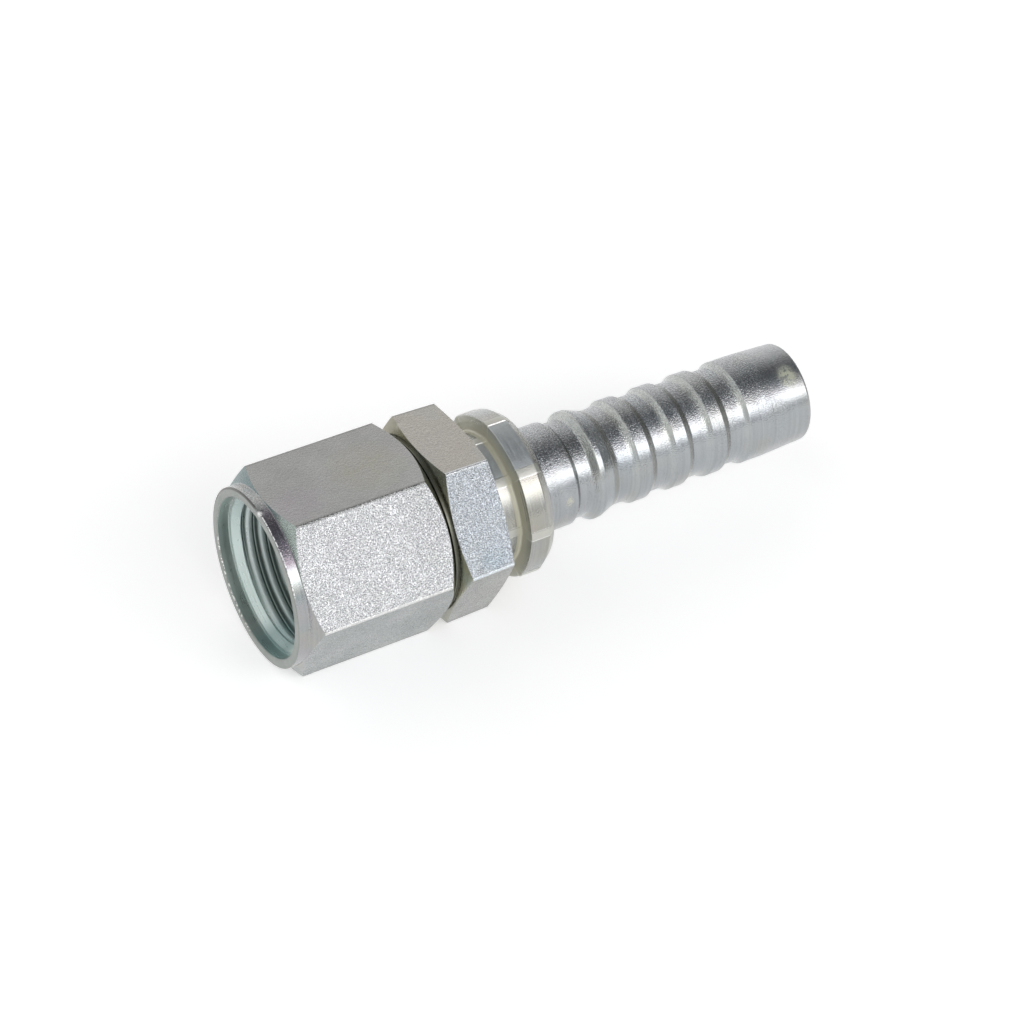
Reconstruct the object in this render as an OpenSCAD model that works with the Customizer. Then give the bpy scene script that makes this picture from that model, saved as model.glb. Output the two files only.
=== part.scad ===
// Crimp hose fitting: a loose swivel nut with a 37 degree flare seat behind it,
// on a ribbed hose tail, held by a hexagon sleeve that is crimped onto the tail.
//
// The fitting's axis is X. Inside each module x is measured in millimetres from
// the nut's mouth; the part as a whole is shifted so that the origin lies on the
// axis where the nut's thread wall begins. +X runs from the nut to the hose tail
// and +Z is up, with both hexagons lying on a flat.

/* [Hexagons] */
// Width across the flats of the nut and of the sleeve's hexagon
hex_af = 22.2; // [22:0.1:22.6]
// Taper of the sleeve's forged hexagon towards the tail, in degrees a side
hex_draft = 1.5; // [0:0.25:2]

/* [Swivel nut] */
// Length of the nut from its mouth to its rear face
nut_len = 20.15; // [19.8:0.05:20.3]
// Outside diameter of the turned ring at the mouth
ring_od = 21.96; // [21.4:0.02:22]
// Length of the turned ring
ring_len = 1.35; // [1:0.05:1.6]
// Where the hexagon's front corners begin
nut_corner_front = 2.43; // [2.2:0.01:2.8]
// Where the hexagon's rear corners end
nut_corner_rear = 18.81; // [18.2:0.01:19.2]
// Diameter of the rear face's round edge
nut_rear_d = 21.8; // [21:0.1:22]
// Diameter of the counterbore in the mouth
counterbore_d = 19.6; // [19.3:0.1:20]
// Depth of the counterbore
counterbore_len = 1.5; // [1.2:0.1:2]
// Width of the ledge round the foot of the counterbore
ledge_w = 0.2; // [0.1:0.05:0.4]
// Length of the lead-in cone from the ledge to the thread
lead_len = 0.85; // [0.6:0.05:1.2]
// Diameter over the thread's crests, which is the plain wall's diameter here
thread_minor_d = 17.5; // [17.35:0.05:17.65]
// Length of the wall that carries the thread
thread_wall = 8.7; // [8.5:0.05:8.75]
// Diameter of the undercut behind the thread, where the insert's head lies
undercut_d = 19.2; // [19.1:0.1:19.4]
// Where the inner shoulder runs into the rear bore
shoulder_x = 16.05; // [16:0.05:16.5]
// Diameter of the rear bore that runs on the insert
nut_bore_d = 14.1; // [13.9:0.05:14.4]

/* [Insert] */
// Distance from the nut's mouth to the front of the flare seat
seat_x = 11.2; // [11:0.1:11.4]
// Angle of the seat's cone from the axis
seat_angle = 37; // [36:0.5:38]
// Diameter of the seat's mouth
seat_d = 15.4; // [15:0.1:15.8]
// Diameter of the head inside the nut
head_d = 17; // [16.6:0.1:17.1]
// Length of the head's cylinder
head_len = 2.8; // [2.5:0.1:3]
// Diameter of the tube inside the nut's rear bore and the hexagon
tube_d = 13.64; // [13.6:0.02:13.7]
// Diameter of the flow bore
flow_d = 9.5; // [9:0.1:10]

/* [Hose tail] */
// Diameter of the land behind the collar
land_d = 12.92; // [12.8:0.02:13]
// Diameter over the ribs
rib_d = 13; // [12.9:0.05:13.3]
// Diameter over the taller first rib
first_rib_d = 13.6; // [13.3:0.05:13.64]
// Diameter in the valleys
valley_d = 12; // [11.8:0.05:12.2]
// Start of the steep side of the second rib
rib_start = 47.25; // [47:0.05:47.4]
// Distance from one rib to the next
rib_pitch = 5.25; // [5.1:0.01:5.3]
// Length of a rib's front side
rib_rise = 0.8; // [0.5:0.05:1]
// Length of a rib's top
rib_top = 1.65; // [1.3:0.05:1.8]
// Length of a rib's rear side
rib_fall = 0.9; // [0.6:0.05:1.1]
// Ribs after the tall one, the last running into the end of the tail
rib_count = 4; // [4:1:4]
// Diameter at the tip, before its rounded edge
tip_d = 12.45; // [12.2:0.05:12.6]
// Distance from the nut's mouth to the tip of the tail
tail_end = 72.7; // [72:0.1:74]

/* [Hexagon sleeve] */
// Front face of the sleeve
sleeve_front = 20.45; // [20.45:0.05:20.55]
// Diameter of the turned boss on the front face
boss_d = 21.2; // [20.4:0.1:21.6]
// Where the front chamfer begins behind the boss
chamfer_x = 20.83; // [20.75:0.01:20.95]
// Where the hexagon's front corners begin
hex_corner_front = 21.52; // [21.4:0.01:21.8]
// Where the hexagon's rear corners end
hex_corner_rear = 26.99; // [26.7:0.01:27.1]
// Rear face of the hexagon
hex_rear = 27.4; // [27.3:0.05:27.6]
// Diameter of the crimped neck
neck_d = 16.5; // [16:0.1:17]
// Front face of the collar
collar_front = 30.6; // [30.3:0.05:30.8]
// Diameter of the collar
collar_d = 20.5; // [20:0.1:21]
// Where the collar's rear chamfer begins
collar_chamfer = 33.2; // [32.9:0.05:33.4]
// Rear face of the collar
collar_rear = 34.3; // [34:0.05:34.6]
// Diameter of the rear face's outer edge
collar_rear_d = 18.6; // [18:0.1:19]

/* [Crimp marks] */
// Die jaws that closed on the neck and the collar
jaws = 8; // [8:1:8]
// Direction of one of the ridges between the jaws
ridge_angle = 41; // [0:1:44]
// Width of each ridge
ridge_w = 1.2; // [0.8:0.1:1.6]
// Height of each ridge over the edge of a jaw's print
ridge_h = 0.1; // [0.03:0.01:0.1]
// How much flatter than the circle each jaw's print is
print_sag = 0.08; // [0.03:0.01:0.12]

/* [Hidden] */
$fn = 96;
ARC = 5;                                   // chords in each rounded corner
origin_x = counterbore_len + lead_len;     // start of the thread wall
hex_r = hex_af / sqrt(3);                  // radius over the corners
FAR = 40;

function unit(v) = v / norm(v);

// One corner b of an outline, between a and c, as an arc of radius r tangent to both sides.
function corner(a, b, c, r) =
    r <= 0 ? [b] :
    let (u = unit(a - b), w = unit(c - b), h = acos(u * w) / 2,
         t = min(r / tan(h), 0.48 * norm(a - b), 0.48 * norm(c - b)),
         q = t * tan(h), o = b + unit(u + w) * q / sin(h),
         s = b + u * t - o, e = b + w * t - o,
         a0 = atan2(s[1], s[0]), d = atan2(e[1], e[0]) - a0,
         turn = d > 180 ? d - 360 : d < -180 ? d + 360 : d)
    [for (i = [0 : ARC]) o + q * [cos(a0 + turn * i / ARC), sin(a0 + turn * i / ARC)]];

// An outline given as [x, radius, rounding] becomes points [radius, x] for turning.
function turned_points(p) =
    let (n = len(p), v = [for (q = p) [q[1], q[0]]])
    [for (i = [0 : n - 1]) each corner(v[(i + n - 1) % n], v[i], v[(i + 1) % n], p[i][2])];

// A solid turned about X from such an outline.
module turned(p) rotate([0, 90, 0]) rotate_extrude() polygon(turned_points(p));

// Stretch of a straight hexagon bar, lying on a flat.
module hex_bar(x0, x1)
    translate([x0, 0, 0]) rotate([0, 90, 0]) rotate([0, 0, 30])
        cylinder(h = x1 - x0, r = hex_r, $fn = 6);

// Stretch of a hexagon bar whose six flats draw in towards +X.
module drafted_hex(x0, x1)
    intersection_for(k = [0 : 5])
        rotate([60 * k, 0, 0]) translate([x0, 0, hex_af / 2]) rotate([0, hex_draft, 0])
            translate([-1, -FAR / 2, -FAR]) cube([x1 - x0 + 2, FAR, FAR]);

module swivel_nut_outside()
    intersection() {
        hex_bar(0, nut_len);
        turned([
            [0, 0, 0],
            [0, ring_od / 2, 0.18],
            [ring_len, ring_od / 2, 0.1],
            [nut_corner_front, hex_r, 0],
            [nut_corner_front, FAR / 2, 0],
            [nut_corner_rear, FAR / 2, 0],
            [nut_corner_rear, hex_r, 0],
            [nut_len, nut_rear_d / 2, 0],
            [nut_len, 0, 0]
        ]);
    }

// Mouth, counterbore, ledge, lead-in cone, thread wall, undercut, inner shoulder and rear bore.
module swivel_nut_inside() {
    wall_end = origin_x + thread_wall;
    turned([
        [-1, 0, 0],
        [-1, counterbore_d / 2 + 0.12, 0],
        [0, counterbore_d / 2 + 0.12, 0],
        [0.12, counterbore_d / 2, 0],
        [counterbore_len, counterbore_d / 2, 0],
        [counterbore_len, counterbore_d / 2 - ledge_w, 0],
        [origin_x, thread_minor_d / 2, 0],
        [wall_end, thread_minor_d / 2, 0],
        [wall_end + (undercut_d - thread_minor_d) / 4, undercut_d / 2, 0],
        [shoulder_x - (undercut_d - nut_bore_d) / 2, undercut_d / 2, 0],
        [shoulder_x, nut_bore_d / 2, 0],
        [nut_len - 0.3, nut_bore_d / 2, 0],
        [nut_len, nut_bore_d / 2 + 0.3, 0],
        [nut_len + 1, nut_bore_d / 2 + 0.3, 0],
        [nut_len + 1, 0, 0]
    ]);
}

// The loose nut: hexagon with a turned ring at its mouth, bored from both ends.
module swivel_nut()
    color([0.74, 0.75, 0.76]) translate([-origin_x, 0, 0])
        difference() {
            swivel_nut_outside();
            swivel_nut_inside();
        }

// Outline of one rib of the row, from the foot of its front side to the foot of its rear side.
function rib(x, last) = concat(
    [[x, valley_d / 2, 0.35], [x + rib_rise, rib_d / 2, 0.35]],
    last ? [] : [[x + rib_rise + rib_top, rib_d / 2, 0.35],
                 [x + rib_rise + rib_top + rib_fall, valley_d / 2, 0.35]]);

// The insert: flared head with its seat, tube, and the ribbed tail that the hose is pushed over.
module insert() {
    seat_depth = (seat_d - flow_d) / 2 / tan(seat_angle);
    shoulder = (head_d - tube_d) / 2;
    step = (tube_d - land_d) / 2;
    color([0.70, 0.72, 0.73]) translate([-origin_x, 0, 0])
        turned(concat(
            [
                [seat_x + seat_depth, flow_d / 2, 0],
                [seat_x, seat_d / 2, 0],
                [seat_x, head_d / 2, 0.2],
                [seat_x + head_len, head_d / 2, 0.2],
                [seat_x + head_len + shoulder, tube_d / 2, 0],
                [hex_rear - 0.2, tube_d / 2, 0],
                [hex_rear - 0.2 + step, land_d / 2, 0],
                [39.35, land_d / 2, 0.3],
                [39.9, valley_d / 2, 0.3],
                [41.75, valley_d / 2, 0.35],
                [42.5, first_rib_d / 2, 0.35],
                [43.15, first_rib_d / 2, 0.6],
                [45.4, valley_d / 2, 1.2]
            ],
            [for (k = [0 : rib_count - 1]) each rib(rib_start + k * rib_pitch, k == rib_count - 1)],
            [
                [66.6, rib_d / 2, 0],
                [tail_end, tip_d / 2, 0.4],
                [tail_end, flow_d / 2 + 0.3, 0],
                [tail_end - 0.3, flow_d / 2, 0]
            ]));
}

// Section left by the jaws: a slightly flattened print from each, and a narrow ridge between them.
module crimp_section(r) {
    half = 180 / jaws - asin(ridge_w / 2 / r);
    mid = r - ridge_h - print_sag;
    off = print_sag / (1 - cos(half));
    intersection_for(k = [0 : jaws - 1])
        rotate(ridge_angle + (k + 0.5) * 360 / jaws) translate([-off, 0]) circle(r = mid + off);
    intersection() {
        circle(r = r);
        for (k = [0 : jaws - 1])
            rotate(ridge_angle + k * 360 / jaws) translate([0, -ridge_w / 2]) square([r + 1, ridge_w]);
    }
}

// The section above along a stretch of the axis, its angles counted from +Y towards +Z.
module crimped(r, x0, x1)
    translate([x0, 0, 0]) rotate([90, 0, 90]) linear_extrude(x1 - x0) crimp_section(r);

// Hexagon with a turned boss and chamfers at its ends.
module sleeve_hexagon()
    intersection() {
        drafted_hex(chamfer_x, hex_rear + 1);
        turned([
            [sleeve_front, 0, 0],
            [sleeve_front, boss_d / 2, 0.12],
            [chamfer_x, boss_d / 2, 0],
            [chamfer_x, 10.9, 0],
            [hex_corner_front, hex_r, 0],
            [hex_corner_front, FAR / 2, 0],
            [hex_corner_rear, FAR / 2, 0],
            [hex_corner_rear, hex_r, 0],
            [hex_rear, 10.9, 0],
            [hex_rear, 0, 0]
        ]);
    }

// Neck and collar, pressed by the jaws.
module sleeve_crimp()
    intersection() {
        turned([
            [hex_rear - 1, 0, 0],
            [hex_rear - 1, neck_d / 2, 0],
            [collar_front, neck_d / 2, 0.3],
            [collar_front + 0.15, collar_d / 2, 0.15],
            [collar_chamfer, collar_d / 2, 0.4],
            [collar_rear, collar_rear_d / 2, 0.2],
            [collar_rear, 0, 0]
        ]);
        union() {
            crimped(neck_d / 2, hex_rear - 2, collar_front - 0.4);
            crimped(collar_d / 2, collar_front - 0.4, collar_rear + 1);
        }
    }

// The sleeve: hexagon, neck and collar in one forging, pressed onto the insert's tube.
module hex_sleeve() {
    step = (tube_d - land_d) / 2;
    color([0.72, 0.71, 0.66]) translate([-origin_x, 0, 0])
        difference() {
            union() {
                sleeve_hexagon();
                sleeve_crimp();
            }
            turned([
                [sleeve_front - 1, 0, 0],
                [sleeve_front - 1, tube_d / 2, 0],
                [hex_rear - 0.2, tube_d / 2, 0],
                [hex_rear - 0.2 + step, land_d / 2, 0],
                [collar_rear + 1, land_d / 2, 0],
                [collar_rear + 1, 0, 0]
            ]);
        }
}

swivel_nut();
insert();
hex_sleeve();
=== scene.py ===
import math

import bpy
import numpy as np
from mathutils import Matrix, Vector


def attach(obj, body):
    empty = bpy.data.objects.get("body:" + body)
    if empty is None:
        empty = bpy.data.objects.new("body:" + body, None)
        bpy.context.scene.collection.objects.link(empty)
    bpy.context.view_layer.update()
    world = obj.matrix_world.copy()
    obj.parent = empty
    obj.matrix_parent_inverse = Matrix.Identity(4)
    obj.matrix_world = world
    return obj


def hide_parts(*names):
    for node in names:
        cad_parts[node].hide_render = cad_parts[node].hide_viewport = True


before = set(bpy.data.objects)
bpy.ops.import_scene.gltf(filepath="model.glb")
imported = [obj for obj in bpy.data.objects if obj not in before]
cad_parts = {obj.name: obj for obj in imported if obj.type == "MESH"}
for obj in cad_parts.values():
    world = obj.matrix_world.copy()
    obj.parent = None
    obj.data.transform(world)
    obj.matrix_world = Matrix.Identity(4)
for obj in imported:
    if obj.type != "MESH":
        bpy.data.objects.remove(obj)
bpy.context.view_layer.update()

MM = 0.001
OX = 2.35           # mm from the nut's mouth to the frame's origin
AP = 11.1           # half the width across flats
HEX_R = 22.2 / math.sqrt(3)
PITCH = 25.4 / 16
RIDGE0, RIDGE_W, RIDGE_H, SAG = 41.0, 1.2, 0.10, 0.08


# ---------------------------------------------------------------- mesh helpers

def hex_outline(a, rc):
    """Polar radius of a hexagon with flats at 0, 60, ... degrees and corners rounded by rc."""
    k = np.mod(a, 60.0) - 30.0                      # from the nearest corner
    k = np.radians(k)
    cx = (AP - rc) / math.cos(math.radians(30))
    limit = math.atan2(rc / 2, cx + rc * math.cos(math.radians(30)))
    arc = cx * np.cos(k) + np.sqrt(np.maximum(rc * rc - (cx * np.sin(k)) ** 2, 0))
    flat = AP / np.cos(math.radians(30) - np.abs(k))
    return np.where(np.abs(k) <= limit, arc, flat), math.degrees(limit)


def merge_angles(groups, least):
    """Sorted angles of all groups, the first groups kept exactly, later ones only where there is room."""
    kept = []
    for g in groups:
        for a in g:
            a = a % 360.0
            if all(min(abs(a - b), 360 - abs(a - b)) >= least for b in kept):
                kept.append(a)
    return np.array(sorted(kept))


def outline(cols, pts, seg=5):
    """Closed outline [x, r, rounding, rows on the side that follows, material], x and r one number or one per column.
    Returns a list of rows, each (cols, 2), and a material for each row."""
    n = len(pts)
    P = [np.stack([np.broadcast_to(np.asarray(p[0], float), (cols,)),
                   np.broadcast_to(np.asarray(p[1], float), (cols,))], 1) for p in pts]
    corners = []
    for i in range(n):
        a, b, c, f = P[i - 1], P[i], P[(i + 1) % n], pts[i][2]
        if f <= 0:
            corners.append([b])
            continue
        u, w = a - b, c - b
        lu, lw = np.linalg.norm(u, axis=1), np.linalg.norm(w, axis=1)
        u, w = u / np.maximum(lu, 1e-9)[:, None], w / np.maximum(lw, 1e-9)[:, None]
        h = np.arccos(np.clip((u * w).sum(1), -0.999999, 0.999999)) / 2
        t = np.minimum(np.minimum(f / np.tan(h), 0.48 * lu), 0.48 * lw)
        q = t * np.tan(h)
        m = u + w
        m = m / np.maximum(np.linalg.norm(m, axis=1), 1e-9)[:, None]
        o = b + m * (q / np.sin(h))[:, None]
        s, e = b + u * t[:, None] - o, b + w * t[:, None] - o
        a0 = np.arctan2(s[:, 1], s[:, 0])
        d = np.arctan2(e[:, 1], e[:, 0]) - a0
        d = (d + np.pi) % (2 * np.pi) - np.pi
        corners.append([o + q[:, None] * np.stack([np.cos(a0 + d * k / seg), np.sin(a0 + d * k / seg)], 1)
                        for k in range(seg + 1)])
    rows, mats = [], []
    for i in range(n):
        c, nxt = corners[i], corners[(i + 1) % n]
        here, before = pts[i][4], pts[i - 1][4]
        for k, row in enumerate(c):
            rows.append(row)
            mats.append(before if k < len(c) // 2 else here)
        sub = pts[i][3]
        for k in range(1, sub + 1):
            rows.append(c[-1] + (nxt[0] - c[-1]) * k / (sub + 1))
            mats.append(here)
    return rows, mats


def build(name, rows, mats, ang, materials, thread=None, edit=None, split=38.0):
    """A closed tube of rows and columns turned about X. thread is (first row, rows, rows a turn)."""
    x = np.array([r[:, 0] for r in rows])
    r = np.array([r[:, 1] for r in rows])
    nr, nc = x.shape
    a = np.radians(ang)[None, :]
    co = np.stack([x - OX, -r * np.sin(a), r * np.cos(a)], 2)
    if edit is not None:
        co = edit(co, x, r, np.degrees(a) + 0 * x)
    co = co.reshape(-1, 3) * MM
    key = np.round(co * 1e8).astype(np.int64)
    _, first, inverse = np.unique(key, axis=0, return_index=True, return_inverse=True)
    inverse = inverse.ravel()
    faces, fm = [], []
    for i in range(nr):
        i2 = (i + 1) % nr
        for j in range(nc):
            j2 = (j + 1) % nc
            b0, b1 = i, i2
            if j2 == 0 and thread:
                t0, tn, tj = thread
                if t0 <= i and i2 < t0 + tn:
                    b0, b1 = i - tj, i2 - tj
                    if b0 < t0:
                        continue
            q = [inverse[i * nc + j], inverse[b0 * nc + j2], inverse[b1 * nc + j2], inverse[i2 * nc + j]]
            out = [v for k, v in enumerate(q) if v != q[k - 1]]
            if len(out) >= 3 and len(set(out)) == len(out):
                faces.append(out)
                fm.append(mats[i])
    used = np.zeros(len(first), bool)
    for f in faces:
        for v in f:
            used[v] = True
    new = np.cumsum(used) - 1
    me = bpy.data.meshes.new(name)
    me.from_pydata([tuple(v) for v in co[first][used]], [], [tuple(int(new[v]) for v in f) for f in faces])
    for m in materials:
        me.materials.append(m)
    me.polygons.foreach_set("material_index", fm)
    me.polygons.foreach_set("use_smooth", [True] * len(faces))
    me.update()
    # normals weighted by area, and kept apart across sharp edges
    nf, nl = len(me.polygons), len(me.loops)
    fn = np.zeros(nf * 3); me.polygons.foreach_get("normal", fn); fn = fn.reshape(-1, 3)
    fa = np.zeros(nf); me.polygons.foreach_get("area", fa)
    lv = np.zeros(nl, np.int64); me.loops.foreach_get("vertex_index", lv)
    total = np.zeros(nf, np.int64); me.polygons.foreach_get("loop_total", total)
    lf = np.repeat(np.arange(nf), total)
    order = np.argsort(lv, kind="stable")
    start = np.searchsorted(lv[order], np.arange(len(me.vertices) + 1))
    most = int((start[1:] - start[:-1]).max())
    acc = np.zeros((nl, 3))
    limit = math.cos(math.radians(split))
    for k in range(most):
        at = start[lv] + k
        ok = at < start[lv + 1]
        other = lf[order[np.minimum(at, nl - 1)]]
        close = ok & ((fn[other] * fn[lf]).sum(1) > limit)
        acc += np.where(close[:, None], fn[other] * fa[other][:, None], 0)
    acc /= np.maximum(np.linalg.norm(acc, axis=1), 1e-15)[:, None]
    me.normals_split_custom_set([tuple(v) for v in acc])
    ob = bpy.data.objects.new(name, me)
    bpy.context.scene.collection.objects.link(ob)
    return ob


def smooth(t):
    t = np.clip(t, 0, 1)
    return t * t * (3 - 2 * t)


def dent(co, at, size, depth, towards=None):
    """Presses the surface in round a point (mm, row frame)."""
    d = np.linalg.norm((co - np.array(at)) / np.array(size), axis=2)
    w = np.exp(-d ** 2 * 1.6)
    t = np.array(towards, float)
    return co + (w * depth)[:, :, None] * t / np.linalg.norm(t)


# ------------------------------------------------------------------- materials

class Mat:
    """A node material written as expressions."""

    def __init__(self, name):
        self.m = bpy.data.materials.new(name)
        self.m.use_nodes = True
        self.t = self.m.node_tree
        self.p = self.t.nodes["Principled BSDF"]
        tc = self.t.nodes.new("ShaderNodeTexCoord")
        self.co = tc.outputs["Object"]
        sep = self.t.nodes.new("ShaderNodeSeparateXYZ")
        self.t.links.new(self.co, sep.inputs[0])
        self.x, self.y, self.z = sep.outputs
        rr = self.math("SQRT", self.math("ADD", self.math("MULTIPLY", self.y, self.y), self.math("MULTIPLY", self.z, self.z)))
        self.r = rr
        self.front = self.math("DIVIDE", self.math("MULTIPLY", self.y, -1.0), rr)     # 1 on the side at -Y
        self.top = self.math("DIVIDE", self.z, rr)                                    # 1 on top
        self.turn = self.math("MULTIPLY", self.math("ARCTAN2", self.math("MULTIPLY", self.y, -1.0), self.z), 180 / math.pi)

    def link(self, value, socket):
        if isinstance(value, bpy.types.NodeSocket):
            self.t.links.new(value, socket)
        else:
            socket.default_value = value

    def math(self, op, a, b=0.0, clamp=False):
        n = self.t.nodes.new("ShaderNodeMath")
        n.operation, n.use_clamp = op, clamp
        self.link(a, n.inputs[0]); self.link(b, n.inputs[1])
        return n.outputs[0]

    def scaled(self, s):
        n = self.t.nodes.new("ShaderNodeVectorMath")
        n.operation = "MULTIPLY"
        self.link(self.co, n.inputs[0]); n.inputs[1].default_value = s
        return n.outputs[0]

    def offset(self, s):
        n = self.t.nodes.new("ShaderNodeVectorMath")
        n.operation = "ADD"
        self.link(self.co, n.inputs[0]); n.inputs[1].default_value = s
        return n.outputs[0]

    def noise(self, scale, detail=3.0, rough=0.5, vec=None, distort=0.0):
        n = self.t.nodes.new("ShaderNodeTexNoise")
        self.link(vec if vec is not None else self.co, n.inputs["Vector"])
        n.inputs["Scale"].default_value = scale
        n.inputs["Detail"].default_value = detail
        n.inputs["Roughness"].default_value = rough
        n.inputs["Distortion"].default_value = distort
        return n.outputs["Fac"]

    def rings(self, scale, around, detail=2.0, rough=0.55):
        """Noise in rings round X, on faces across X too, drifting slowly around."""
        n = self.t.nodes.new("ShaderNodeCombineXYZ")
        along = self.math("ADD", self.x, self.math("MULTIPLY", self.r, 0.9))
        self.link(self.math("MULTIPLY", along, scale), n.inputs[0])
        self.link(self.math("MULTIPLY", self.y, around), n.inputs[1])
        self.link(self.math("MULTIPLY", self.z, around), n.inputs[2])
        return self.noise(1.0, detail, rough, n.outputs[0])

    def step(self, value, lo, hi, a=0.0, b=1.0):
        n = self.t.nodes.new("ShaderNodeMapRange")
        n.interpolation_type = "SMOOTHSTEP"
        self.link(value, n.inputs["Value"])
        n.inputs["From Min"].default_value, n.inputs["From Max"].default_value = lo, hi
        n.inputs["To Min"].default_value, n.inputs["To Max"].default_value = a, b
        return n.outputs["Result"]

    def band(self, value, lo, hi, soft):
        return self.math("MULTIPLY", self.step(value, lo - soft, lo + soft), self.step(value, hi - soft, hi + soft, 1.0, 0.0))

    def mix(self, fac, a, b):
        n = self.t.nodes.new("ShaderNodeMix")
        n.data_type = "RGBA"
        self.link(fac, n.inputs["Factor"])
        for v, s in ((a, n.inputs["A"]), (b, n.inputs["B"])):
            self.link(v if isinstance(v, bpy.types.NodeSocket) else (*v, 1.0), s)
        return n.outputs["Result"]

    def spot(self, at, size):
        """1 at a point (mm, row frame), falling to 0 over size (mm along X, and across)."""
        v = self.t.nodes.new("ShaderNodeVectorMath"); v.operation = "SUBTRACT"
        self.link(self.co, v.inputs[0]); v.inputs[1].default_value = [c * MM for c in at]
        s = self.t.nodes.new("ShaderNodeVectorMath"); s.operation = "DIVIDE"
        self.link(v.outputs[0], s.inputs[0]); s.inputs[1].default_value = [c * MM for c in size]
        ln = self.t.nodes.new("ShaderNodeVectorMath"); ln.operation = "LENGTH"
        self.link(s.outputs[0], ln.inputs[0])
        return self.step(ln.outputs["Value"], 0.25, 1.0, 1.0, 0.0)

    def bumps(self, layers):
        """layers: (height socket, depth in metres), added up."""
        normal = None
        for h, d in layers:
            n = self.t.nodes.new("ShaderNodeBump")
            n.inputs["Strength"].default_value = 1.0
            n.inputs["Distance"].default_value = d
            self.link(h, n.inputs["Height"])
            if normal is not None:
                self.link(normal, n.inputs["Normal"])
            normal = n.outputs["Normal"]
        self.link(normal, self.p.inputs["Normal"])

    def done(self, colour, rough, metallic=1.0):
        self.link(colour, self.p.inputs["Base Color"])
        self.link(rough, self.p.inputs["Roughness"])
        self.link(metallic, self.p.inputs["Metallic"])
        return self.m


def tinted(m, base, tints, scale, amount):
    """Slow drifts of interference colour over a base colour."""
    c = base
    for k, t in enumerate(tints):
        n = m.noise(scale * (1 + 0.37 * k), 2.0, 0.5, m.offset((0.013 * (k + 1), 0.029 * (k + 1), 0.007 * k)))
        c = m.mix(m.math("MULTIPLY", m.step(n, 0.45, 0.7), amount), c, t)
    return c


def hexagon_zinc(name, base, tints, top, front, low, grain=1.0, blots=(), painted_edge_highlight=()):
    """Forged and plated flats: an orange-peel grain under a bright deposit; the top, front and lower flats get tints of
    painted light and painted shade, and chosen corners get painted highlights.
    """
    m = Mat(name)
    c = base
    patch = m.step(m.noise(260.0, 2.0, 0.5), 0.35, 0.65, 0.80, 1.0)
    # painted light and shade: each flat is tinted after how the light falls on it
    for lo, hi, tint in ((-30.0, 30.0, top), (30.0, 90.0, front), (90.0, 150.0, low)):
        c = m.mix(m.math("MULTIPLY", m.band(m.turn, lo, hi, 1.0), patch), c, tint)
    for k, t in enumerate(tints):
        n = m.noise(130.0 * (1 + 0.37 * k), 2.0, 0.5, m.offset((0.013 * (k + 1), 0.029 * (k + 1), 0.007 * k)))
        c = m.mix(m.math("MULTIPLY", m.step(n, 0.45, 0.7), 0.30), c, t)
    for at, size, colour, share in blots:
        soft = m.math("MULTIPLY", m.spot(at, size), m.step(m.noise(700.0, 3.0, 0.6), 0.35, 0.6, 0.4, 1.0))
        c = m.mix(m.math("MULTIPLY", soft, share), c, colour)
    peel = m.noise(3400.0, 1.0, 0.5)
    fine = m.noise(8200.0, 0.6, 0.5)
    streak = m.noise(1.0, 2.0, 0.6, m.scaled((500.0, 3500.0, 3500.0)))
    amount = m.math("ADD", m.math("MULTIPLY", m.band(m.turn, 30.0, 90.0, 1.0), 0.74), 0.26)    # most on the front flat, where light makes the grain sparkle; the specks below are painted sparkle
    speck = m.math("MULTIPLY", m.step(fine, 0.53, 0.40), m.math("MULTIPLY", amount, 0.66))
    # dark specks: painted shade of the sparkle
    c = m.mix(speck, c, (0.22, 0.23, 0.245))
    # white specks: painted glints
    c = m.mix(m.math("MULTIPLY", m.step(fine, 0.54, 0.64), m.math("MULTIPLY", amount, 0.36)), c, (0.86, 0.86, 0.86))
    away = m.math("ABSOLUTE", m.math("SUBTRACT", m.math("MODULO", m.math("ADD", m.turn, 360.0), 60.0), 30.0))
    c = m.mix(m.math("MULTIPLY", m.step(away, 1.4, 0.7), 0.55), c, (0.22, 0.22, 0.21))         # a dark line along each rounded corner: painted shade
    # bright lines along chosen corners: painted highlights
    for at, colour in painted_edge_highlight:
        c = m.mix(m.math("MULTIPLY", m.math("MULTIPLY", m.step(away, 1.2, 0.7), m.band(m.turn, at - 8.0, at + 8.0, 2.0)), 0.9), c, colour)
    rough = m.math("ADD", m.step(peel, 0.35, 0.65, 0.20, 0.30), m.step(streak, 0.35, 0.65, -0.02, 0.04))
    m.bumps([(m.math("MULTIPLY", peel, amount), 0.00004 * grain), (m.math("MULTIPLY", fine, amount), 0.00011 * grain), (peel, 0.000012 * grain), (streak, 0.000004)])
    return m.done(c, rough, 0.97)


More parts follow.
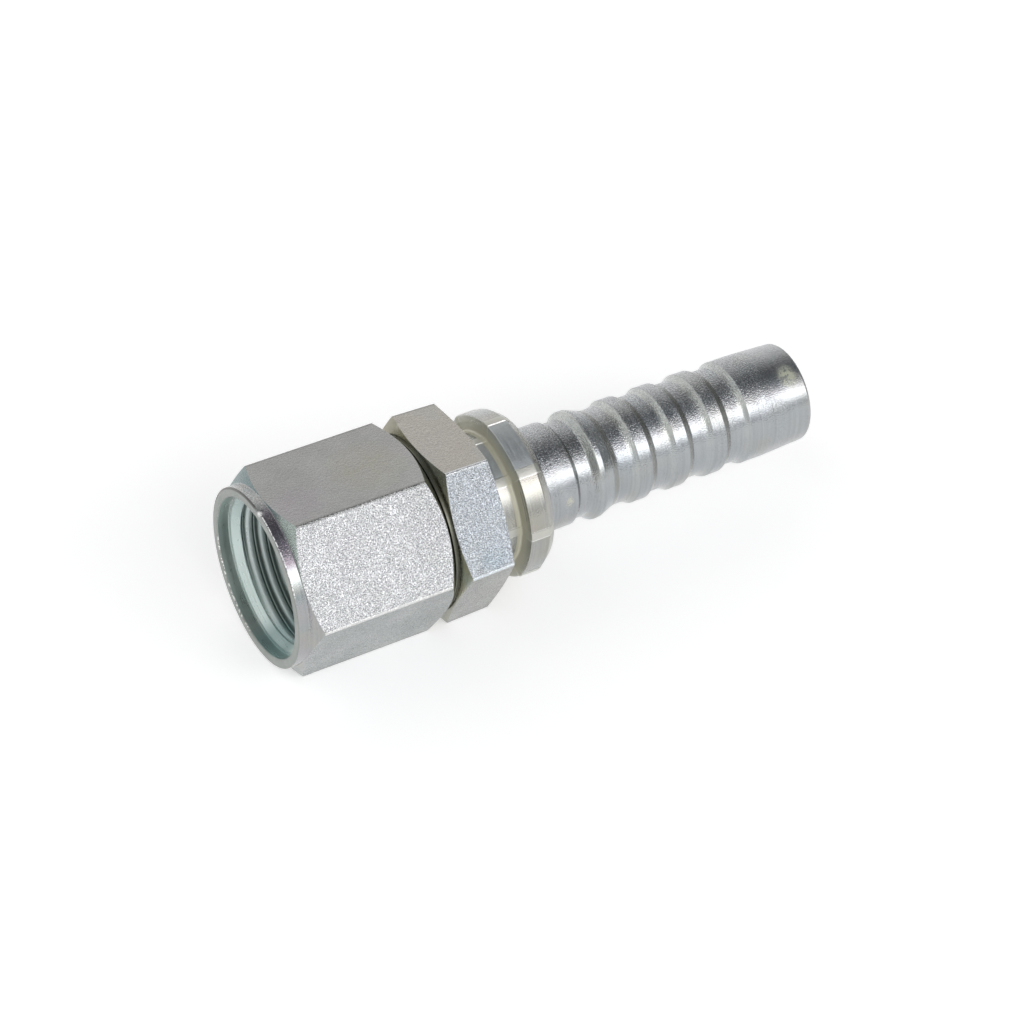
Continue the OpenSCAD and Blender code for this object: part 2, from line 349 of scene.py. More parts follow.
def turned_zinc(name, base, tints, amount=0.6, rings=0.5, rough=(0.18, 0.30), speckle=0.0, ring_scale=9000.0,
                metallic=1.0, violet_shade=0.0, spots=(), areas=None, calm=None):
    """Turned and plated surface: fine rings round X under slow drifts of colour, and a mottled deposit whose specks,
    kept mostly to the upper side, are painted sparkle (painted shade and painted glints).
    areas(m, colour, rough, metallic) returns the three after the places that differ."""
    m = Mat(name)
    c = tinted(m, base, tints, 150.0, amount)
    if violet_shade:
        # a violet tint of the plating, painted darker in a band on the ring's upper front: violet tint with painted
        # shade
        v = m.math("MULTIPLY", m.math("MULTIPLY", m.band(m.turn, 8.5, 49.0, 4.0), m.step(m.r, 0.01106, 0.01100)), violet_shade)
        c = m.mix(v, c, (0.235, 0.19, 0.245))
    line = m.rings(ring_scale, 70.0)
    wide = m.rings(ring_scale * 0.30, 40.0)
    cloud = m.noise(420.0, 3.0, 0.55)
    fine = m.noise(6800.0, 1.0, 0.5)
    mottle = m.noise(2600.0, 2.0, 0.6)
    c = m.mix(m.math("MULTIPLY", m.step(line, 0.60, 0.35), 0.12), c, (0.25, 0.26, 0.27))
    c = m.mix(m.math("MULTIPLY", m.step(wide, 0.58, 0.38), 0.22), c, (0.26, 0.27, 0.28))
    r = m.math("ADD", m.step(cloud, 0.35, 0.68, rough[0], rough[1]), m.step(line, 0.35, 0.65, -0.02, 0.03))
    r = m.math("ADD", r, m.step(wide, 0.38, 0.62, -0.02, 0.06))
    layers = [(line, 0.000005 * rings), (cloud, 0.000003)]
    if speckle:
        # specks painted mostly on the upper side, where light makes the grain sparkle: dark specks painted shade, white
        # specks painted glints
        upper = m.band(m.turn, -80.0, 44.0, 9.0)
        if calm:                                       # less grain from here on
            upper = m.math("MULTIPLY", upper, m.step(m.x, (calm - 0.8 - OX) * MM, (calm + 0.8 - OX) * MM, 1.0, 0.35))
        where = m.math("ADD", m.math("MULTIPLY", upper, 0.75), m.step(m.noise(300.0, 2.0, 0.5), 0.40, 0.62, 0.20, 0.55))
        c = m.mix(m.math("MULTIPLY", m.math("MULTIPLY", m.step(fine, 0.50, 0.36), where), 0.42 * speckle), c, (0.13, 0.14, 0.15))
        c = m.mix(m.math("MULTIPLY", m.math("MULTIPLY", m.step(fine, 0.54, 0.66), upper), 0.34 * speckle), c, (0.85, 0.86, 0.88))
        layers += [(m.math("MULTIPLY", mottle, where), 0.000010 * speckle), (m.math("MULTIPLY", fine, where), 0.000066 * speckle)]
    if areas:
        c, r, metallic = areas(m, c, r, metallic)
    for at, size, colour, share in spots:
        blot = m.math("MULTIPLY", m.spot(at, size), m.step(m.noise(1600.0, 3.0, 0.6), 0.38, 0.56, 0.35, 1.0))
        c = m.mix(m.math("MULTIPLY", blot, share), c, colour)
        metallic = m.math("MULTIPLY", metallic, m.math("SUBTRACT", 1.0, m.math("MULTIPLY", blot, 0.8)))
        r = m.math("ADD", r, m.math("MULTIPLY", blot, 0.2))
        layers.append((m.math("MULTIPLY", m.spot(at, size), m.noise(1400.0, 3.0, 0.6)), 0.00006))
    m.bumps(layers)
    return m.done(c, r, metallic)


def nut_areas(m, c, r, metallic):
    """Teal chamfer over the ring, painted dark on the top and back (painted shade) and pale on the upper front (painted
    light); the ring's outer edge painted dark on the top and back (painted shade) with a bright line broken into chips
    on the upper front (painted highlight); olive chamfer at the rear.
    """
    x0 = -OX * MM
    lead = m.math("MULTIPLY", m.band(m.x, x0 + 0.00140, x0 + 0.0030, 0.00004), m.step(m.r, 0.01102, 0.01108))
    # teal chamfer painted darker on the top and back (painted shade) and paler on the upper front (painted light)
    c = m.mix(m.math("MULTIPLY", lead, m.band(m.turn, -75.0, 20.0, 12.0)), c, (0.185, 0.24, 0.245))
    c = m.mix(m.math("MULTIPLY", lead, m.band(m.turn, 20.0, 62.0, 4.0)), c, (0.42, 0.48, 0.45))
    rear = m.step(m.x, x0 + 0.0180, x0 + 0.0186)
    c = m.mix(m.math("MULTIPLY", rear, 0.85), c, (0.44, 0.45, 0.35))
    r = m.math("ADD", r, m.math("MULTIPLY", rear, 0.12))
    chips = m.step(m.noise(2600.0, 2.0, 0.6), 0.40, 0.50)
    # the ring's outer edge painted dark on the top and back: painted shade
    edge = m.math("MULTIPLY", m.step(m.x, x0 + 0.00026, x0 + 0.00014), m.step(m.r, 0.01076, 0.01084))
    c = m.mix(m.math("MULTIPLY", edge, m.band(m.turn, -90.0, 6.0, 3.0)), c, (0.10, 0.10, 0.095))
    # a bright line broken into chips along the ring's outer edge on the upper front: painted highlight
    painted_edge_highlight = m.math("MULTIPLY", m.math("MULTIPLY", edge, m.band(m.turn, 11.0, 66.0, 3.0)), chips)
    c = m.mix(painted_edge_highlight, c, (0.95, 0.95, 0.94))
    r = m.math("ADD", r, m.math("MULTIPLY", painted_edge_highlight, 0.25))
    metallic = m.step(painted_edge_highlight, 0.0, 1.0, metallic, 0.2)
    return c, r, metallic


def inside_areas(m, c, r, metallic):
    """The thread's roots, the deep bore, the counterbore's wall and the lower front wall are painted darker (painted
    shade); the lead-in cone is painted bright, brightest on its lower half (painted light).
    """
    x0 = -OX * MM
    # painted shade in the thread's roots
    root = m.math("MULTIPLY", m.step(m.r, 0.00898, 0.00920), m.band(m.x, x0 + 0.0027, x0 + 0.0113, 0.0002))
    c = m.mix(m.math("MULTIPLY", root, 0.82), c, (0.17, 0.215, 0.205))
    # the lead-in cone painted bright, brighter on its lower half: painted light
    cone = m.band(m.x, x0 + 0.00156, x0 + 0.0028, 0.00006)
    c = m.mix(m.math("MULTIPLY", cone, 0.8), c, m.mix(m.step(m.top, 0.5, -0.5), (0.60, 0.71, 0.70), (0.80, 0.92, 0.89)))
    crest = m.math("MULTIPLY", m.step(m.r, 0.00905, 0.00885), m.band(m.x, x0 + 0.0026, x0 + 0.0090, 0.0003))
    c = m.mix(m.math("MULTIPLY", crest, 0.8), c, (0.62, 0.69, 0.69))
    # painted shade deep in the bore, fading towards the tail's open end
    deep = m.math("MULTIPLY", m.step(m.x, x0 + 0.0070, x0 + 0.0115), m.step(m.x, x0 + 0.0480, x0 + 0.0680, 1.0, 0.15))
    c = m.mix(m.math("MULTIPLY", deep, 0.75), c, (0.14, 0.16, 0.155))
    open_ = m.math("MAXIMUM", cone, m.math("MULTIPLY", crest, m.math("SUBTRACT", 1.0, deep)))
    metallic = m.step(open_, 0.0, 1.0, metallic, 0.25)
    # painted shade on the counterbore's wall
    wall = m.math("MULTIPLY", m.step(m.x, x0 + 0.00150, x0 + 0.00144), m.step(m.r, 0.00968, 0.00976))
    c = m.mix(m.math("MULTIPLY", wall, 0.45), c, (0.36, 0.41, 0.37))
    # painted shade on the lower front wall inside
    under = m.math("MULTIPLY", m.math("MULTIPLY", m.step(m.top, -0.80, -0.94), m.step(m.front, -0.35, 0.0)), m.step(m.x, x0 + 0.0115, x0 + 0.0100))
    c = m.mix(m.math("MULTIPLY", under, 0.75), c, (0.26, 0.38, 0.38))
    return c, r, metallic


def face_areas(m, c, r, metallic):
    """Tiny bright chips along the mouth's inner edge, painted white only on its lower back part (chips with painted
    highlights); the ring's outer edge painted dark on the top and back (painted shade).
    """
    x0 = -OX * MM
    chips = m.step(m.noise(2600.0, 2.0, 0.6), 0.48, 0.56)
    # bright chips on the inner edge's lower back part, painted white: chips with painted highlights
    inner = m.math("MULTIPLY", m.step(m.r, 0.01000, 0.00994), m.band(m.turn, -165.0, -95.0, 6.0))
    c = m.mix(m.math("MULTIPLY", inner, chips), c, (0.95, 0.95, 0.93))
    # the ring's outer edge painted dark on the top and back: painted shade
    edge = m.math("MULTIPLY", m.step(m.r, 0.01070, 0.01078), m.band(m.turn, -90.0, 6.0, 3.0))
    c = m.mix(m.math("MULTIPLY", edge, 0.8), c, (0.14, 0.14, 0.13))
    return c, r, metallic


def tail_areas(m, c, r, metallic):
    """The ribs' rear sides are painted darker and made a little rougher (painted shade); their front sides are painted
    paler, most on the upper part (painted light), and made a little rougher.
    """
    x0 = -OX * MM
    p = m.math("MODULO", m.math("SUBTRACT", m.x, x0 + 0.04100), 0.00525)
    # the ribs' front sides painted paler, most on the upper part: painted light
    rise = m.math("MULTIPLY", m.band(p, 0.00078, 0.00174, 0.00010), m.band(m.x, x0 + 0.0415, x0 + 0.0650, 0.0002))
    rise = m.math("MULTIPLY", rise, m.math("MULTIPLY", m.step(m.noise(900.0, 3.0, 0.6), 0.30, 0.60, 0.45, 1.0), m.step(m.turn, 46.0, 62.0, 1.0, 0.25)))
    c = m.mix(m.math("MULTIPLY", rise, 0.55), c, (0.60, 0.62, 0.585))
    r = m.math("ADD", r, m.math("MULTIPLY", rise, 0.06))
    q = m.math("MODULO", m.math("SUBTRACT", m.x, x0 + 0.04200), 0.00525)
    # the ribs' rear sides painted darker: painted shade
    fall = m.math("MULTIPLY", m.band(q, 0.00245, 0.00325, 0.00012), m.band(m.x, x0 + 0.0435, x0 + 0.0615, 0.0002))
    c = m.mix(m.math("MULTIPLY", fall, 0.5), c, (0.22, 0.22, 0.19))
    r = m.math("ADD", r, m.math("MULTIPLY", fall, 0.10))
    return c, r, metallic


def sleeve_areas(m, c, r, metallic):
    """A brown cast on the upper part of the front chamfer; the boss in the gap is painted dark (painted shade between
    the nut and the sleeve).
    """
    cast = m.math("MULTIPLY", m.band(m.turn, -100.0, -2.0, 10.0), m.step(m.x, -OX * MM + 0.0218, -OX * MM + 0.0215))
    c = m.mix(m.math("MULTIPLY", cast, 0.85), c, (0.29, 0.27, 0.20))
    # the boss in the gap painted dark: painted shade between the nut and the sleeve
    boss = m.math("MULTIPLY", m.step(m.x, -OX * MM + 0.02088, -OX * MM + 0.02080), m.step(m.r, 0.01082, 0.01074))
    c = m.mix(m.math("MULTIPLY", boss, 0.85), c, (0.13, 0.13, 0.10))
    return c, r, metallic


def pressed_areas(m, c, r, metallic):
    """Ridges left rough between the jaws' prints, each with bright lines painted down its sides (painted highlights,
    stronger on one side); a rougher print on top painted lighter (painted light); olive passivation in the groove,
    painted lighter and less metallic (painted light)."""
    x0 = -OX * MM
    q = m.math("SUBTRACT", m.math("MODULO", m.math("ADD", m.turn, 360.0 - RIDGE0 + 22.5), 45.0), 22.5)
    side = m.math("MULTIPLY", m.math("ABSOLUTE", m.math("SINE", m.math("MULTIPLY", q, math.pi / 180))), m.r)   # metres
    ridge = m.step(side, RIDGE_W * MM / 2 + 0.00002, RIDGE_W * MM / 2 - 0.00006)
    rim = m.band(side, RIDGE_W * MM / 2 - 0.00012, RIDGE_W * MM / 2 + 0.00005, 0.00003)
    rim = m.math("MULTIPLY", rim, m.step(q, -1.0, 1.0, 0.25, 1.0))
    rim = m.math("MULTIPLY", rim, m.step(m.x, x0 + 0.0335, x0 + 0.0331))
    ridge = m.math("MULTIPLY", ridge, m.step(m.x, x0 + 0.0342, x0 + 0.0336))
    # the top print made rougher and painted lighter: painted light
    dull = m.math("MULTIPLY", m.band(m.turn, -2.0, 39.0, 2.0), m.math("MULTIPLY", m.step(ridge, 0.2, 0.8, 1.0, 0.0), m.step(m.x, x0 + 0.0335, x0 + 0.0331)))
    r = m.math("ADD", r, m.math("MULTIPLY", dull, 0.26))
    c = m.mix(m.math("MULTIPLY", dull, m.step(m.noise(900.0, 3.0, 0.6), 0.35, 0.6, 0.55, 0.85)), c, (0.56, 0.60, 0.62))
    r = m.math("ADD", r, m.math("MULTIPLY", ridge, 0.22))
    c = m.mix(m.math("MULTIPLY", ridge, 0.75), c, (0.62, 0.62, 0.57))
    # bright lines along the ridges' sides, stronger on one side: painted highlights
    c = m.mix(m.math("MULTIPLY", rim, m.step(m.x, x0 + 0.0308, x0 + 0.0309, 0.6, 0.85)), c, (0.95, 0.95, 0.92))
    # olive passivation on the collar's front wall, painted lighter and less metallic: olive tint with painted light
    groove = m.math("MULTIPLY", m.band(m.x, x0 + 0.0300, x0 + 0.03072, 0.0001), m.step(m.r, 0.00790, 0.00810))
    c = m.mix(m.math("MULTIPLY", groove, 0.95), c, (0.61, 0.595, 0.485))
    r = m.math("ADD", r, m.math("MULTIPLY", groove, 0.25))
    metallic = m.step(groove, 0.0, 1.0, metallic, 0.50)
    return c, r, metallic


# ------------------------------------------------------------------------- nut

def thread_rows(ang):
    """Internal right-hand thread, 60 degree flanks, its rows following the helix, from the undercut to the mouth."""
    crest, root, lead_x, lead_r = 8.75, 9.48, 1.62, 9.5
    x_start, x_end, wall_end = 1.62, 11.475, 11.05
    phase = 0.905                                   # crest at angle 0
    d = np.array([0.0, 0.11, 0.19, 0.225, 0.25, 0.28, 0.35, 0.45, 0.55, 0.64, 0.675, 0.70, 0.73])
    d = np.concatenate([d, [PITCH / 2], PITCH - d[:0:-1]])
    k = np.minimum(d, PITCH - d)
    f = (k - 0.19) / 0.52
    soft = 0.30
    f = np.where(f < -soft, 0, np.where(f < soft, (f + soft) ** 2 / (4 * soft), f))
    f = 1 - f
    f = np.where(f < -soft, 0, np.where(f < soft, (f + soft) ** 2 / (4 * soft), f))
    f = 1 - f
    rad = crest + (root - crest) * f
    J = len(d)
    lo = math.floor((x_start - phase) / PITCH - 1) - 0
    hi = math.ceil((x_end - phase) / PITCH + 0.2)
    u, rr = [], []
    for turn in range(lo, hi + 1):
        for q in range(J):
            u.append(turn * PITCH + d[q]); rr.append(rad[q])
    rows = []
    for uu, ra in zip(u[::-1], rr[::-1]):
        x = phase + uu + PITCH * ang / 360.0
        xc = np.clip(x, x_start, x_end)
        cone = lead_r - 0.564 * (xc - lead_x)
        run = crest + 2.0 * (xc - wall_end)
        cut = crest + (ra - crest) * smooth((xc - 2.15) / 1.0)
        rows.append(np.stack([xc, np.maximum(np.maximum(cut, cone), run)], 1))
    for r in rows:
        r[:, 1] = np.where(r[:, 0] <= x_start, lead_r, np.where(r[:, 0] >= x_end, 9.6, r[:, 1]))
    return rows, J


NICK_A = 10.0        # angle of the nick on the mouth's ring


def make_nut():
    _, lim = hex_outline(np.array([0.0]), 0.22)
    corner = [30 + 60 * k + s * lim * f for k in range(6) for s in (-1, 1) for f in (1.0, 0.66, 0.33)] + [30 + 60 * k for k in range(6)]
    near = [30 + 60 * k + s * (lim + 0.25) for k in range(6) for s in (-1, 1)]
    nick = list(np.arange(NICK_A - 2.8, NICK_A + 2.81, 0.4))
    ang = merge_angles([corner, near, nick, np.arange(0, 360, 1.5)], 0.19)
    nc = len(ang)
    hx, _ = hex_outline(ang, 0.22)
    s1 = (HEX_R - 10.98) / (2.43 - 1.35)
    s2 = (HEX_R - 10.9) / (20.15 - 18.81)
    xb = 1.35 + (hx - 10.98) / s1
    xr = 20.15 - (hx - 10.9) / s2
    H, T, I, F = 0, 1, 2, 3
    pts = [
        [1.5, 9.8, 0.05, 6, I],
        [0.12, 9.8, 0.03, 0, F],
        [0.0, 9.92, 0.03, 5, F],
        [0.0, 10.98, 0.2, 8, T],
        [1.35, 10.98, 0.12, 2, T],
        [xb, hx, 0.05, 3, H],
        [xr, hx, 0.10, 3, T],
        [20.15, 10.9, 0.06, 3, T],
        [20.15, 7.35, 0.04, 0, T],
        [19.85, 7.05, 0.04, 2, I],
        [16.05, 7.05, 0.1, 2, I],
        [13.5, 9.6, 0.15, 2, I],
        [11.475, 9.6, 0.0, 0, I],
        [1.62, 9.5, 0.0, 0, I],
        [1.5, 9.5, 0.03, 2, I],
    ]
    rows, mats = outline(nc, pts)
    t, J = thread_rows(ang)
    at = len(rows) - 9                              # before the thread's last point
    rows = rows[:at] + t + rows[at:]
    mats = mats[:at] + [I] * len(t) + mats[at:]

    def edit(co, x, r, a):
        n = math.radians(NICK_A)
        p = [0.05 - OX, -10.95 * math.sin(n), 10.95 * math.cos(n)]
        co = dent(co, p, (0.42, 0.30, 0.30), 0.26, (0.35, math.sin(n), -math.cos(n)))
        return co

    return build("swivel_nut_visual", rows, mats, ang, [NUT_HEX, NUT_TURNED, NUT_INSIDE, NUT_FACE], (at, len(t), J), edit)


# ---------------------------------------------------------------------- insert

def make_insert():
    ang = np.arange(0, 360, 1.5)
    T, I = 0, 1
    pts = [
        [15.115, 4.75, 0.05, 2, I],
        [11.2, 7.7, 0.05, 0, I],
        [11.2, 8.5, 0.2, 0, I],
        [14.0, 8.5, 0.2, 0, I],
        [15.68, 6.82, 0.1, 2, I],
        [27.2, 6.82, 0.0, 0, T],
        [27.56, 6.46, 0.0, 0, T],
        [39.35, 6.46, 0.3, 0, T],
        [39.9, 6.0, 0.3, 1, T],
        [41.75, 6.0, 0.35, 0, T],
        [42.5, 6.8, 0.35, 0, T],
        [43.15, 6.8, 0.6, 1, T],
        [45.4, 6.0, 1.2, 1, T],
    ]
    for k in range(4):
        x = 47.25 + 5.25 * k
        pts += [[x - 0.45, 6.0, 2.2, 0, T], [x + 0.2, 6.14, 1.4, 0, T], [x + 0.8, 6.5, 0.25, 1, T]]
        if k < 3:
            pts += [[x + 2.45, 6.5, 0.22, 0, T], [x + 3.35, 6.0, 0.22, 1, T]]
    pts += [
        [66.6, 6.5, 0.5, 3, T],
        [72.7, 6.225, 0.4, 1, T],
        [72.7, 5.05, 0.05, 0, T],
        [72.4, 4.75, 0.05, 3, I],
    ]
    rows, mats = outline(len(ang), pts, 7)
    return build("insert_visual", rows, mats, ang, [TAIL, NUT_INSIDE])


# ---------------------------------------------------------------------- sleeve



def crimp_radius(a, R, width=RIDGE_W, edge=0.09):
    """Polar radius of the section left by eight jaws, a in degrees: ridges, each with a soft step down to the prints."""
    k = np.mod(a - RIDGE0 + 22.5, 45.0) - 22.5      # from the nearest ridge
    half = 22.5 - math.degrees(math.asin(width / 2 / R))
    mid = R - RIDGE_H - SAG
    off = SAG / (1 - math.cos(math.radians(half)))
    p = np.radians(22.5 - np.abs(k))                # from the print's middle
    print_r = -off * np.cos(p) + np.sqrt((mid + off) ** 2 - (off * np.sin(p)) ** 2)
    side = R * np.sin(np.radians(np.abs(k)))        # mm from the ridge's middle
    t = smooth((side - (width / 2 - edge)) / edge)
    crown = R - 0.012 * (side / (width / 2)) ** 2
    return crown * (1 - t) + np.minimum(print_r, R - RIDGE_H) * t


def make_sleeve():
    _, lim = hex_outline(np.array([0.0]), 0.22)
    corner = [30 + 60 * k + s * lim * f for k in range(6) for s in (-1, 1) for f in (1.0, 0.66, 0.33)] + [30 + 60 * k for k in range(6)]
    near = [30 + 60 * k + s * (lim + 0.25) for k in range(6) for s in (-1, 1)]
    ridge = []
    for k in range(8):
        c = RIDGE0 + 45 * k
        for R in (8.25, 10.25):
            for w in (0.60, 0.573, 0.545, 0.51):
                h = math.degrees(math.asin(w / R))
                ridge += [c - h, c + h]
        ridge += [c, c - 1.5, c + 1.5]
    ang = merge_angles([corner, near, ridge, np.arange(0, 360, 1.5)], 0.13)
    nc = len(ang)
    hx, _ = hex_outline(ang, 0.22)
    g = hx / AP
    m = math.tan(math.radians(1.5))
    s = (HEX_R - 10.9) / (21.52 - 20.83)
    rb = g * (AP + 10.9 * m / s) / (1 + m * g / s)
    xb = 20.83 + (rb - 10.9) / s
    sr = (HEX_R - 10.9) / (27.4 - 26.99)
    xr = (10.9 + sr * 27.4 - g * (AP + m * 20.83)) / (sr - g * m)
    rr = g * (AP - m * (xr - 20.83))
    nk = crimp_radius(ang, 8.25)
    cl = crimp_radius(ang, 10.25)
    H, T, C = 0, 1, 2
    pts = [
        [20.45, 6.82, 0.02, 2, T],
        [20.45, 10.6, 0.10, 0, T],
        [20.83, 10.6, 0.04, 0, T],
        [20.83, 10.9, 0.04, 1, T],
        [xb, rb, 0.05, 4, H],
        [xr, rr, 0.06, 1, T],
        [27.4, 10.88, 0.04, 1, T],
        [27.4, nk, 0.22, 2, C],
        [30.6, nk, 0.3, 2, C],
        [30.75, cl, 0.15, 3, C],
        [33.2, cl, 0.4, 1, C],
        [34.3, 9.3, 0.2, 1, C],
        [34.3, 6.46, 0.03, 0, T],
        [27.56, 6.46, 0.0, 0, T],
        [27.2, 6.82, 0.0, 0, T],
    ]
    rows, mats = outline(nc, pts)

    def edit(co, x, r, a):
        n = math.radians(-24.0)                                            # a knock on the front edge
        return dent(co, [21.32 - OX, -12.0 * math.sin(n), 12.0 * math.cos(n)], (0.30, 0.35, 0.35), 0.14, (0.9, math.sin(n), -math.cos(n)))

    return build("hex_sleeve_visual", rows, mats, ang, [SLEEVE_HEX, SLEEVE_TURNED, SLEEVE_CRIMP], None, edit)


# ------------------------------------------------------------------------ part

NICK = (0.0 - OX, -10.9 * math.sin(math.radians(NICK_A)), 10.9 * math.cos(math.radians(NICK_A)))
# bare metal in the nick, painted pure white and less metallic: bare metal with a painted highlight
BARE_METAL_GLINT = [(NICK, (0.70, 0.50, 0.50), (1.0, 1.0, 0.99), 1.0)]
# the top, front and lower tints are each flat's painted light and shade
NUT_HEX = hexagon_zinc("nut_flats", (0.50, 0.505, 0.51), [(0.50, 0.485, 0.505), (0.48, 0.505, 0.475)],
                       (0.382, 0.385, 0.376), (0.72, 0.725, 0.735), (0.300, 0.324, 0.320), painted_edge_highlight=[(90.0, (0.86, 0.86, 0.85))],
                       blots=[((14.5 - OX, -0.5, 11.1), (6.0, 5.5, 2.0), (0.415, 0.405, 0.33), 0.6),
                              ((4.5 - OX, -3.0, 11.1), (4.5, 4.5, 2.0), (0.405, 0.365, 0.41), 0.5)])
NUT_TURNED = turned_zinc("nut_turned", (0.40, 0.415, 0.415), [(0.43, 0.39, 0.43), (0.35, 0.42, 0.40), (0.45, 0.43, 0.39)], 0.7, 0.8, (0.10, 0.17), 0.7,
                         violet_shade=0.7, spots=BARE_METAL_GLINT, areas=nut_areas)
NUT_FACE = turned_zinc("nut_face", (0.33, 0.35, 0.33), [(0.30, 0.335, 0.31), (0.36, 0.355, 0.325)], 0.6, 0.8, (0.30, 0.42), 0.4,
                       spots=BARE_METAL_GLINT, areas=face_areas)
NUT_INSIDE = turned_zinc("nut_inside", (0.62, 0.72, 0.69), [(0.55, 0.69, 0.65), (0.64, 0.66, 0.66)], 0.7, 0.5, (0.26, 0.36), 0.0,
                         metallic=0.85, areas=inside_areas)
# the top, front and lower tints are each flat's painted light and shade
SLEEVE_HEX = hexagon_zinc("sleeve_flats", (0.48, 0.49, 0.48), [(0.50, 0.48, 0.46), (0.45, 0.49, 0.46)],
                          (0.50, 0.475, 0.43), (0.515, 0.56, 0.61), (0.300, 0.306, 0.295), painted_edge_highlight=[(30.0, (0.74, 0.76, 0.78)), (90.0, (0.78, 0.84, 0.88))],
                          blots=[((24.8 - OX, -12.0, 1.4), (2.8, 1.6, 1.9), (0.37, 0.47, 0.53), 0.6)])
SLEEVE_TURNED = turned_zinc("sleeve_turned", (0.44, 0.44, 0.39), [(0.47, 0.45, 0.36), (0.40, 0.45, 0.43)], 0.7, 2.0, (0.22, 0.32), 0.2, areas=sleeve_areas)
SLEEVE_CRIMP = turned_zinc("sleeve_pressed", (0.43, 0.43, 0.41), [(0.44, 0.42, 0.35), (0.41, 0.43, 0.42)], 0.7, 1.2, (0.14, 0.24), 0.45,
                           metallic=0.95, areas=pressed_areas)
TAIL = turned_zinc("tail_zinc", (0.42, 0.435, 0.447), [(0.40, 0.435, 0.46), (0.43, 0.43, 0.405)], 0.6, 1.3, (0.09, 0.17), 0.95, areas=tail_areas, calm=67.2,
                   spots=[((70.6 - OX, -6.35 * math.sin(0.58), 6.35 * math.cos(0.58)), (1.8, 2.0, 2.0), (0.47, 0.49, 0.37), 0.9),
                          ((38.2 - OX, -6.46 * math.sin(1.48), 6.46 * math.cos(1.48)), (0.75, 0.9, 0.9), (0.56, 0.56, 0.44), 0.6)])

nut = make_nut()
insert = make_insert()
sleeve = make_sleeve()
for ob, body, node, slot in ((nut, "nut", "swivel_nut", "zinc_nut"),
                             (insert, "body", "insert", "zinc_tail"),
                             (sleeve, "body", "hex_sleeve", "zinc_sleeve")):
    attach(ob, body)
    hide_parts(node)


# ----------------------------------------------------------------------- stage

def make_floor():
    me = bpy.data.meshes.new("floor")
    z, h = -11.1 * MM, 3.0
    me.from_pydata([(-h, -h, z), (h, -h, z), (h, h, z), (-h, h, z)], [], [(0, 1, 2, 3)])
    ob = bpy.data.objects.new("floor", me)
    bpy.context.scene.collection.objects.link(ob)
    mat = bpy.data.materials.new("floor_white")
    mat.use_nodes = True
    p = mat.node_tree.nodes["Principled BSDF"]
    p.inputs["Base Color"].default_value = (0.86, 0.86, 0.86, 1)
    p.inputs["Roughness"].default_value = 0.9
    p.inputs["Specular IOR Level"].default_value = 0.0
    p.inputs["Emission Color"].default_value = (1, 1, 1, 1)
    p.inputs["Emission Strength"].default_value = 0.42
    me.materials.append(mat)


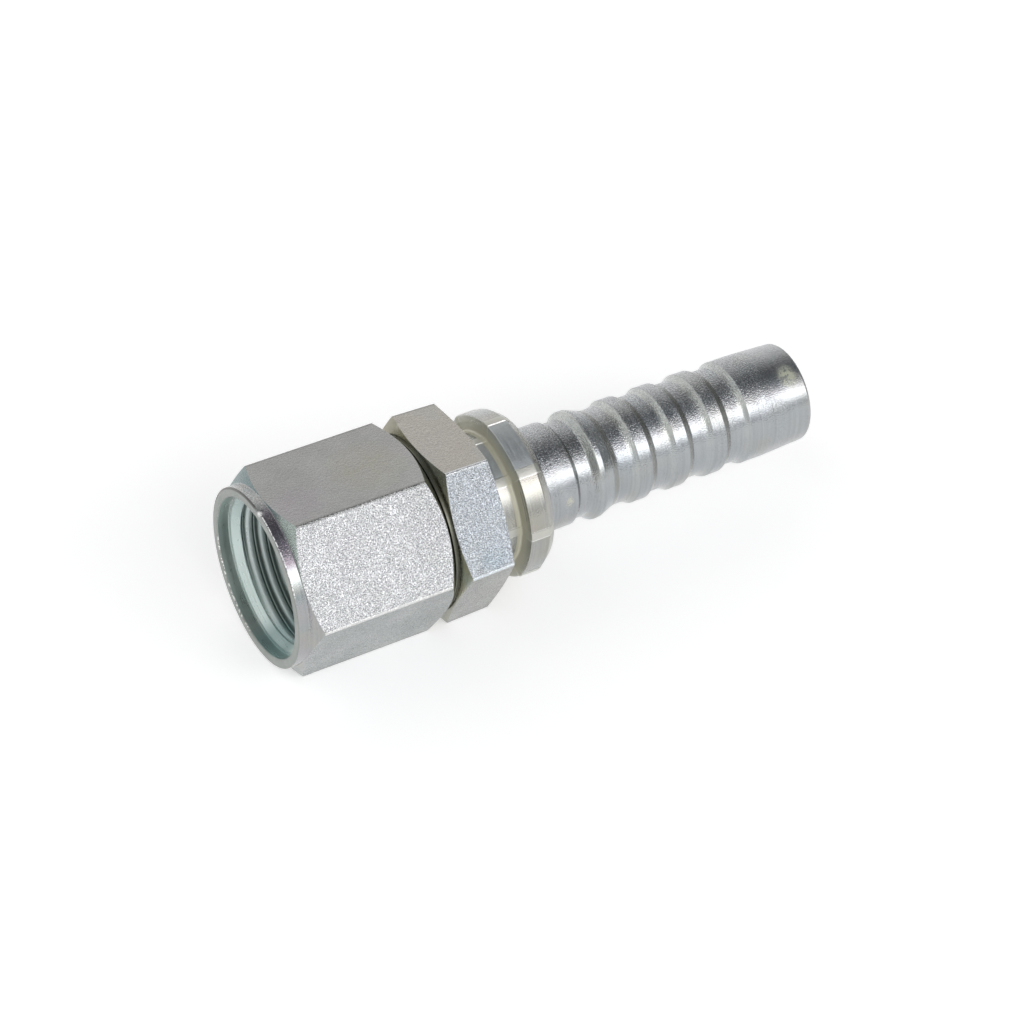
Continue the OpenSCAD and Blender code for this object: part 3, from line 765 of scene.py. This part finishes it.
def make_world():
    """Studio seen by direction: a softbox on the camera's side, a dark ceiling and a pale wall behind."""
    w = bpy.data.worlds.new("studio")
    bpy.context.scene.world = w
    w.use_nodes = True
    t = w.node_tree
    bg = t.nodes["Background"]
    tc = t.nodes.new("ShaderNodeTexCoord")
    sep = t.nodes.new("ShaderNodeSeparateXYZ")
    t.links.new(tc.outputs["Generated"], sep.inputs[0])

    def math_(op, a, b=0.0):
        n = t.nodes.new("ShaderNodeMath"); n.operation = op
        for v, s in ((a, n.inputs[0]), (b, n.inputs[1])):
            if isinstance(v, bpy.types.NodeSocket):
                t.links.new(v, s)
            else:
                s.default_value = v
        return n.outputs[0]

    e = math_("ARCTAN2", sep.outputs[2], math_("MULTIPLY", sep.outputs[1], -1.0))
    u = math_("ADD", math_("DIVIDE", e, 2 * math.pi), 0.5)        # -180..180 degrees -> 0..1
    ramp = t.nodes.new("ShaderNodeValToRGB")
    t.links.new(u, ramp.inputs[0])
    top = 3.2
    stops = [
        (-180, (1.00, 1.00, 1.00)), (-90, (0.80, 0.80, 0.80)), (-6, (0.72, 0.74, 0.76)), (4, (0.80, 0.82, 0.85)),
        (10, (1.00, 1.02, 1.05)), (15, (1.38, 1.40, 1.43)), (20, (2.15, 2.17, 2.20)), (25, (3.00, 3.01, 3.04)),
        (36, (3.15, 3.16, 3.19)), (42, (2.25, 2.07, 2.10)), (50, (0.95, 0.97, 1.00)), (60, (0.46, 0.48, 0.51)),
        (75, (0.21, 0.22, 0.24)), (90, (0.14, 0.145, 0.155)), (105, (0.17, 0.17, 0.175)), (118, (0.40, 0.40, 0.395)),
        (128, (0.64, 0.635, 0.63)), (137, (0.80, 0.79, 0.78)), (148, (0.97, 0.96, 0.95)), (165, (1.06, 1.05, 1.04)), (180, (1.00, 1.00, 1.00)),
    ]
    cr = ramp.color_ramp
    cr.interpolation = "LINEAR"
    while len(cr.elements) > 1:
        cr.elements.remove(cr.elements[-1])
    for k, (d, c) in enumerate(stops):
        el = cr.elements[0] if k == 0 else cr.elements.new((d + 180) / 360)
        el.position = (d + 180) / 360
        el.color = (c[0] / top, c[1] / top, c[2] / top, 1)

    def toward(fac, colour, behind):
        n = t.nodes.new("ShaderNodeMix"); n.data_type = "RGBA"
        t.links.new(fac, n.inputs["Factor"]); t.links.new(behind, n.inputs["A"])
        n.inputs["B"].default_value = (*[v / top for v in colour], 1)
        return n.outputs["Result"]

    def rise(lo, hi):
        n = t.nodes.new("ShaderNodeMapRange"); n.interpolation_type = "SMOOTHSTEP"
        t.links.new(sep.outputs[0], n.inputs["Value"])
        n.inputs["From Min"].default_value, n.inputs["From Max"].default_value = lo, hi
        return n.outputs["Result"]

    c = toward(rise(0.58, 0.84), (0.30, 0.305, 0.30), ramp.outputs[0])      # dim at the tail's end
    c = toward(rise(-0.10, -0.40), (0.88, 0.89, 0.88), c)                  # paler at the nut's
    c = toward(rise(-0.70, -0.86), (0.52, 0.53, 0.53), c)                  # and dim again beyond it
    t.links.new(c, bg.inputs[0])
    bg.inputs[1].default_value = top


def make_camera():
    E, psi, rho, D, f, tx, ty = 38.3935, 30.3585, 0.2942, 369.6633, 3231.0432, -256.8934, 66.7121
    E, psi, rho = (math.radians(v) for v in (E, psi, rho))
    r = Vector((math.cos(psi), -math.sin(psi), 0))
    fh = Vector((math.sin(psi), math.cos(psi), 0))
    Z = Vector((0, 0, 1))
    fwd = math.cos(E) * fh - math.sin(E) * Z
    up = math.sin(E) * fh + math.cos(E) * Z
    r2 = math.cos(rho) * r + math.sin(rho) * up
    u2 = -math.sin(rho) * r + math.cos(rho) * up
    C = -(tx / f) * D * r2 + (ty / f) * D * u2 - D * fwd
    C = (C - Vector((OX, 0, 0))) * MM
    cam = bpy.data.cameras.new("camera")
    cam.sensor_width = 36.0
    cam.lens = f / 1024 * 36.0
    cam.clip_start, cam.clip_end = 0.01, 20.0
    ob = bpy.data.objects.new("camera", cam)
    m = Matrix((r2, u2, -fwd)).transposed().to_4x4()
    m.translation = C
    ob.matrix_world = m
    bpy.context.scene.collection.objects.link(ob)
    bpy.context.scene.camera = ob


make_floor()
make_world()
make_camera()
bpy.context.scene.view_settings.view_transform = "Standard"
bpy.context.scene.view_settings.look = "None"
